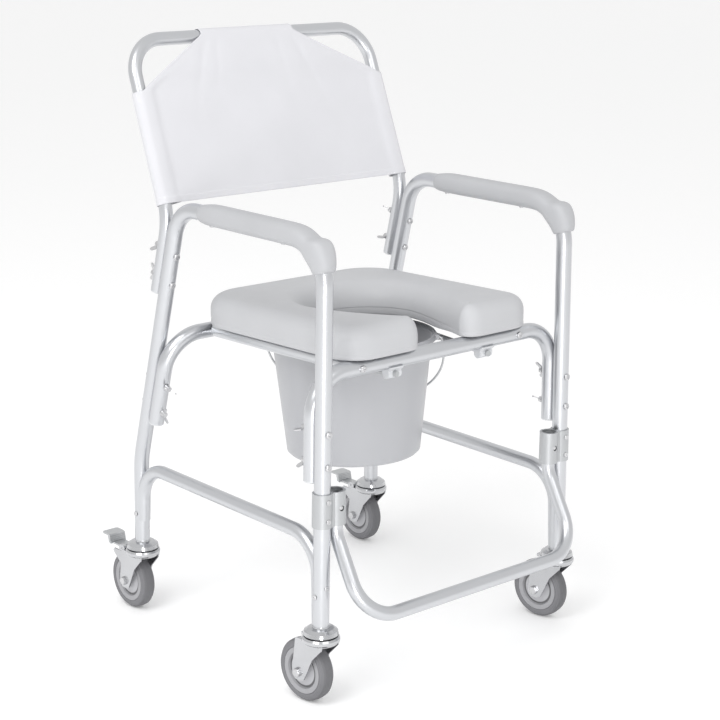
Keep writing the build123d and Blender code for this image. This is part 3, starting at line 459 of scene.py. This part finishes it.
def cushion_rings():
    """Rings of (plan point, height) from the edge of the board outwards, up and over to the top."""
    loop = seat_loop()
    count = len(loop)
    points = [p for p, _ in loop]
    tangents = [points[(i + 1) % count] - points[i - 1] for i in range(count)]
    normals = [Vector((-t.y, t.x)).normalized() for t in tangents]          # into the foam
    width, drop = roll_sizes(loop, *ROLL_WIDTH), roll_sizes(loop, *ROLL_DEPTH)
    top = [SEAT_HIGH - REAR_FALL * clamp(p.y / SEAT_REAR) for p in points]
    low = [SEAT_LOW + RELIEF * clamp((p.y - RELIEF_Y) / RELIEF_RUN) for p in points]
    lip = smooth_loop([LIP * clamp((p.y - LIP_Y) / LIP_RUN) if is_inner else 0 for p, is_inner in loop])
    rings = []
    for inset, rise, share in LOWER_EDGE:
        rings.append([(points[i] + normals[i] * inset, low[i] + rise - share * lip[i]) for i in range(count)])
    for a in range(0, 100, 10):
        turn = radians(a)
        ring = []
        for i in range(count):
            inset = width[i] * WIDTH_SHARE * (1 - cos(turn)) + ROLL_SHIFT * sin(turn)
            rolled = top[i] - ROLL_TOP - drop[i] * DEPTH_SHARE * (1 - sin(turn))
            ring.append((points[i] + normals[i] * inset, max(low[i] + ROLL_FOOT + ROLL_CREEP * a, rolled)))
        rings.append(ring)
    return rings


def build_seat():
    rings = cushion_rings()
    count = len(rings[0])
    verts = [from_seat(p.x, p.y, z) for ring in rings for p, z in ring]
    faces = bridge(count, len(rings))
    ridge = [q for q in catmull(RIDGE, 5) if q.y > CROWN_START]
    crown = [Vector((side * q.x, q.y)) for q in ridge for side in (-1, 1)]
    fill_cap([p for p, _ in rings[-1]], crown, (len(rings) - 1) * count, SEAT_HIGH - CROWN_DIP, verts, faces)
    fill_cap([p for p, _ in rings[0]], [], 0, SEAT_LOW + RECESS, verts, faces)
    piece = new_piece("seat_cushion", verts, faces, SEAT)
    round_off(piece)
    for face in piece.data.polygons:
        if face.normal.z < -0.95:           # the flat underside
            face.use_smooth = False
    return piece


seat = build_seat()
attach(seat, "seat")
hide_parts("seat_pad")

# ------------------------------------------------------------------ sling back
BACK_TOP, BACK_KINK_Z = Vector((247, 499, 967.9)), 696.6
LEG_TUBE, BACK_TUBE = 25.4, 22.2
POST_GAP = (LEG_TUBE + BACK_TUBE) / 2 + 0.1             # leg axis to post axis
POST_FOOT_Y = rear_leg_y(BACK_KINK_Z - POST_GAP * sin(RAKE)) + POST_GAP * cos(RAKE)
UP = Vector((0, BACK_TOP.y - POST_FOOT_Y, BACK_TOP.z - BACK_KINK_Z)).normalized()
FORWARD = Vector((0, -UP.z, UP.y))          # from the posts towards the sitter
POST_LEAN = (leg_x(BACK_KINK_Z) - BACK_TOP.x) / (BACK_TOP.z - BACK_KINK_Z) * UP.z
HEM_Z, CORNER_Z = 716, 890                  # the lower hem; above the second the corners are cut away
HEM = (HEM_Z - BACK_TOP.z) / UP.z
CORNER = (CORNER_Z - BACK_TOP.z) / UP.z
SLEEVE = 12.1                               # radius of the cloth round a tube
FLAP = (-112, 80)                           # the flap over the top bar
ROWS, COLUMNS, WRAP = 46, 72, 14
HEM_ROWS = (0, 1.5, 5, 8.6, 9.8, 11, 14)    # rows at the hem, above its edge
HEM_DEPTH, HEM_EXTRA = 10, 0.5              # the turned-up hem and what it adds to the thickness
# creases that run down from the flap: x at the top bar, sideways lean, depth
CREASES = ((FLAP[0] + 6, 0.35, 1.6), (FLAP[0] + 30, 0.15, 1.1), (FLAP[1] - 8, -0.4, 1.5),
           (FLAP[1] - 40, -0.1, 0.8))
CREASE_WIDTH, CREASE_LENGTH = 7, 150
BILLOW, RIPPLE, FOLD = 3.2, 2.4, 0.8        # how far the middle hangs back; long and short random waves
TAUT = 25                                   # the cloth is kept flat this near the top bar
SEAM_STEP, STEP_START, STEP_RUN, STEP_FADE = 3.2, 13, 10, 30        # drop of the cloth beside a sleeve
SLEEVE_SEAM, FLAP_SEAM = (23, 1.8, 0.9), (9, 2.2, 0.8)              # from the edge, width, depth
# the sleeve's return behind a post: how far inward, how far forward
SLEEVE_RETURN = ((8, -SLEEVE + 0.6), (15, -SLEEVE + 4), (20, -3), (23, 5), (26, SLEEVE - 2.2))
BAR_ROWS, OVER_BAR, FLAP_STEP = 16, 11, 9   # rows past the top bar, those of them round it, spacing below
FLAP_LEAN, FLAP_REACH = 0.12, 30            # the back flap hangs forward
CLOTH = 1.1


def post_x(v):
    return BACK_TOP.x - POST_LEAN * v


def on_back(x, v, front):
    """Point in the plane of the posts: x across, v up from the top bar, front towards the sitter."""
    p = Vector((x, BACK_TOP.y, BACK_TOP.z)) + UP * v + FORWARD * front
    return (p.x, p.y + LEG_Y, p.z)


def sling_rows():
    """Heights of the rows, closer together at the hem."""
    steps = ROWS - len(HEM_ROWS)
    start = HEM + HEM_ROWS[-1]
    return [HEM + rise for rise in HEM_ROWS] + [start - start * (i + 1) / steps for i in range(steps)]


def groove(offset, width):
    """Bell-shaped line, 1 at its middle."""
    return exp(-((offset / width) ** 2))


def slack(x, v):
    """Billow and soft creases of the stretched cloth, mm, towards the back."""
    across = 1 - (x / BACK_TOP.x) ** 2
    along = sin(pi * clamp((v - HEM) / -HEM))
    ripple = noise.noise(Vector((x * 0.006 + 3, v * 0.009 - x * 0.003, 0.4))) * RIPPLE
    fold = noise.noise(Vector((x * 0.02 + v * 0.012, v * 0.004, 7.1))) * FOLD
    fade = max(0, 1 + v / CREASE_LENGTH)
    creases = sum(depth * groove(x - from_x - lean * v, CREASE_WIDTH) for from_x, lean, depth in CREASES)
    return across * (BILLOW * along + ripple + fold) + fade * creases


def sewn(v, edge):
    """Step beside a sleeve and the sewn line of a hem, mm."""
    step = SEAM_STEP * clamp((edge - STEP_START) / STEP_RUN)
    if v >= CORNER:
        step *= max(0, 1 - (v - CORNER) / STEP_FADE)
    place, width, depth = SLEEVE_SEAM if v < CORNER else FLAP_SEAM
    return step + depth * groove(edge - place, width)


def cloth_radius(v):
    return SLEEVE + (HEM_EXTRA if v < HEM + HEM_DEPTH else 0.0)


def sheet_ends(v):
    """Ends of the sheet at a height: the posts, and above the corners a line from there to the flap."""
    low, high = -post_x(v), post_x(v)
    share = max(0, (v - CORNER) / -CORNER)
    return low + (FLAP[0] - low) * share, high + (FLAP[1] - high) * share


def front_points(rows):
    """The sheet in front of the posts, keyed by (column, row)."""
    points = {}
    for j, v in enumerate(rows):
        low, high = sheet_ends(v)
        loose = clamp(-v / TAUT)
        for i in range(COLUMNS + 1):
            x = low + (high - low) * i / COLUMNS
            sag = loose * (slack(x, v) + sewn(v, min(x - low, high - x)))
            points[i, j] = on_back(x, v, cloth_radius(v) - sag)
    return points


def sleeve_points(rows):
    """Round each post and back to the sheet, keyed by (end column, row, step)."""
    points = {}
    for j, v in enumerate(rows):
        if v >= CORNER:
            break
        radius = cloth_radius(v)
        for end, side in ((0, -1), (COLUMNS, 1)):
            for k in range(1, WRAP + 1):
                turn = pi * k / WRAP
                x = side * (post_x(v) + radius * sin(turn))
                points[end, j, k] = on_back(x, v, radius * cos(turn))
            for k, (inward, front) in enumerate(SLEEVE_RETURN):
                points[end, j, WRAP + 1 + k] = on_back(side * (post_x(v) - inward), v, front)
    return points


def flap_points(first_row):
    """Over the top bar and down behind it, keyed by (column, row)."""
    points = {}
    for b in range(1, BAR_ROWS + 1):
        turn = pi * min(b, OVER_BAR) / OVER_BAR
        below = max(0, b - OVER_BAR) * FLAP_STEP
        front = SLEEVE * cos(turn) + min(below, FLAP_REACH) * FLAP_LEAN
        for i in range(COLUMNS + 1):
            x = FLAP[0] + (FLAP[1] - FLAP[0]) * i / COLUMNS
            points[i, first_row + b - 1] = on_back(x, SLEEVE * sin(turn) - below, front)
    return points


def build_sling():
    rows = sling_rows()
    points = front_points(rows) | sleeve_points(rows) | flap_points(len(rows))
    index = {key: n for n, key in enumerate(points)}
    faces = [[index[i, j], index[i + 1, j], index[i + 1, j + 1], index[i, j + 1]]
             for j in range(len(rows) - 1 + BAR_ROWS) for i in range(COLUMNS)]
    steps = WRAP + len(SLEEVE_RETURN)
    for j in range(len(rows) - 1):
        for end in (0, COLUMNS):
            chain = [(end, j)] + [(end, j, k) for k in range(1, steps + 1)]
            above = [(end, j + 1)] + [(end, j + 1, k) for k in range(1, steps + 1)]
            for keys in zip(chain, chain[1:], above[1:], above):
                if all(key in index for key in keys):
                    faces.append([index[key] for key in keys])
    piece = new_piece("sling_sheet", list(points.values()), faces, SLING)
    thickness = piece.modifiers.new("cloth", "SOLIDIFY")
    thickness.thickness = CLOTH * MM
    thickness.offset = 1.0
    round_off(piece)
    area = sum(face.area for face in piece.data.polygons)
    return piece, area


sling, sling_area = build_sling()
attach(sling, "frame")
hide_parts("back_sling")

# ------------------------------------------------------------------ camera, floor and light
CAMERA_PLACE = Vector((-1834.5, -1923.7 + LEG_Y, 1203.1)) * MM
YAW, PITCH, ROLL = radians(40.649), radians(14.841), radians(0.296)
right = Vector((cos(YAW), -sin(YAW), 0))
ahead = Vector((sin(YAW) * cos(PITCH), cos(YAW) * cos(PITCH), -sin(PITCH)))
up = right.cross(ahead)
cam_right = right * cos(ROLL) + up * sin(ROLL)
cam_up = up * cos(ROLL) - right * sin(ROLL)
camera_data = bpy.data.cameras.new("camera")
camera_data.sensor_width = 36
camera_data.lens = 88.75
camera = bpy.data.objects.new("camera", camera_data)
camera.matrix_world = Matrix((
    (cam_right.x, cam_up.x, -ahead.x, CAMERA_PLACE.x), (cam_right.y, cam_up.y, -ahead.y, CAMERA_PLACE.y),
    (cam_right.z, cam_up.z, -ahead.z, CAMERA_PLACE.z), (0, 0, 0, 1)))
bpy.context.scene.collection.objects.link(camera)
bpy.context.scene.camera = camera

floor_material = bpy.data.materials.new("pale_floor")
floor_material.use_nodes = True
floor_shader = floor_material.node_tree.nodes["Principled BSDF"]
floor_shader.inputs["Base Color"].default_value = (0.95, 0.95, 0.95, 1)
floor_shader.inputs["Roughness"].default_value = 0.6
floor_shader.inputs["Specular IOR Level"].default_value = 0.1
floor_shader.inputs["Emission Color"].default_value = (1, 1, 1, 1)
floor_shader.inputs["Emission Strength"].default_value = 0.10
floor_mesh = bpy.data.meshes.new("studio_floor")
floor_mesh.from_pydata([(-30, -30, 0), (30, -30, 0), (30, 30, 0), (-30, 30, 0)], [], [(0, 1, 2, 3)])
floor_mesh.materials.append(floor_material)
floor = bpy.data.objects.new("studio_floor", floor_mesh)
bpy.context.scene.collection.objects.link(floor)

world = bpy.data.worlds.new("studio")
world.use_nodes = True
background = world.node_tree.nodes["Background"]
background.inputs["Color"].default_value = (1, 1, 1, 1)
background.inputs["Strength"].default_value = 0.86
bpy.context.scene.world = world
bpy.context.scene.view_settings.view_transform = "Standard"


def area_light(name, place, aim, size, power):
    data = bpy.data.lights.new(name, "AREA")
    data.shape = "RECTANGLE"
    data.size, data.size_y = size
    data.energy = power
    light = bpy.data.objects.new(name, data)
    light.location = place
    light.rotation_euler = (Vector(aim) - Vector(place)).to_track_quat("-Z", "Y").to_euler()
    bpy.context.scene.collection.objects.link(light)


area_light("key", (-2.4, -0.8, 3.2), (0, 0, 0.5), (1.8, 2.2), 52)
area_light("front", (-0.6, -3.0, 2.6), (0, 0, 0.4), (2.0, 1.6), 14)
area_light("strip", (-1.9, -2.5, 0.45), (0, 0, 0.45), (0.5, 0.9), 17)
